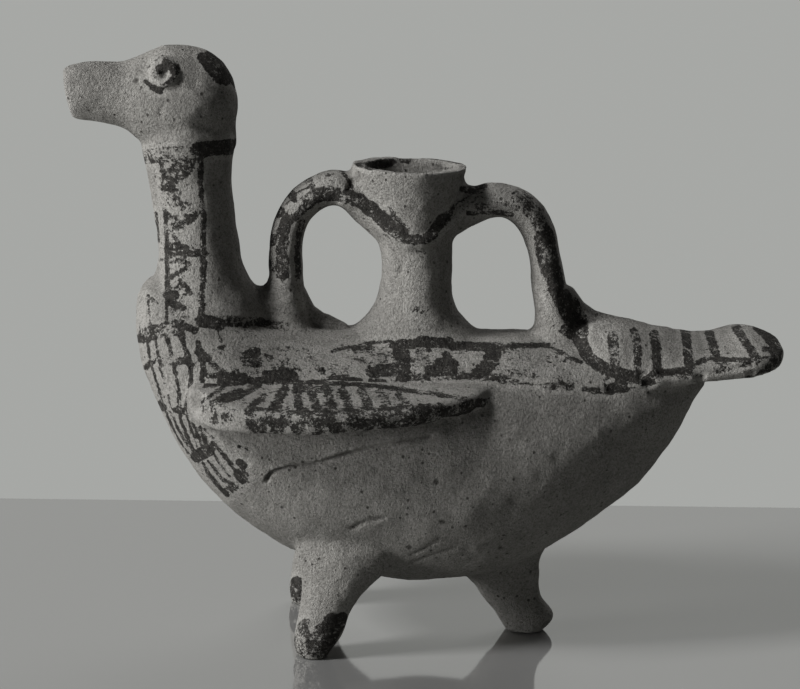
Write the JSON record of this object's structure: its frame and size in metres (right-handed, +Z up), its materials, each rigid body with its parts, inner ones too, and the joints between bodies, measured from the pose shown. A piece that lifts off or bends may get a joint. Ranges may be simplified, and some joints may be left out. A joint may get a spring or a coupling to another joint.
{
  "type": "askos vessel",
  "caption": "Bird-shaped hollow clay pouring vessel on short legs, with a filling cup, strap handles, small wings, a flat tail and painted bands.",
  "frame": {"origin": "on the floor under the middle of the vessel's length and width", "axes": "+X from the beak towards the tail, +Y towards the bird's right wing, +Z up"},
  "size_m": [0.27, 0.1236, 0.2223],
  "materials": {
    "painted_clay": "matt, unglazed, with worn dark painted bands"
  },
  "bodies": {
    "root": {"body_shell": "painted_clay", "neck": "painted_clay", "head": "painted_clay", "left_eye_pellet": "painted_clay", "right_eye_pellet": "painted_clay", "filling_spout": "painted_clay", "front_handle": "painted_clay", "rear_handle": "painted_clay", "left_wing": "painted_clay", "right_wing": "painted_clay", "tail": "painted_clay", "front_left_leg": "painted_clay", "front_right_leg": "painted_clay", "rear_leg": "painted_clay"}
  },
  "joints": []
}
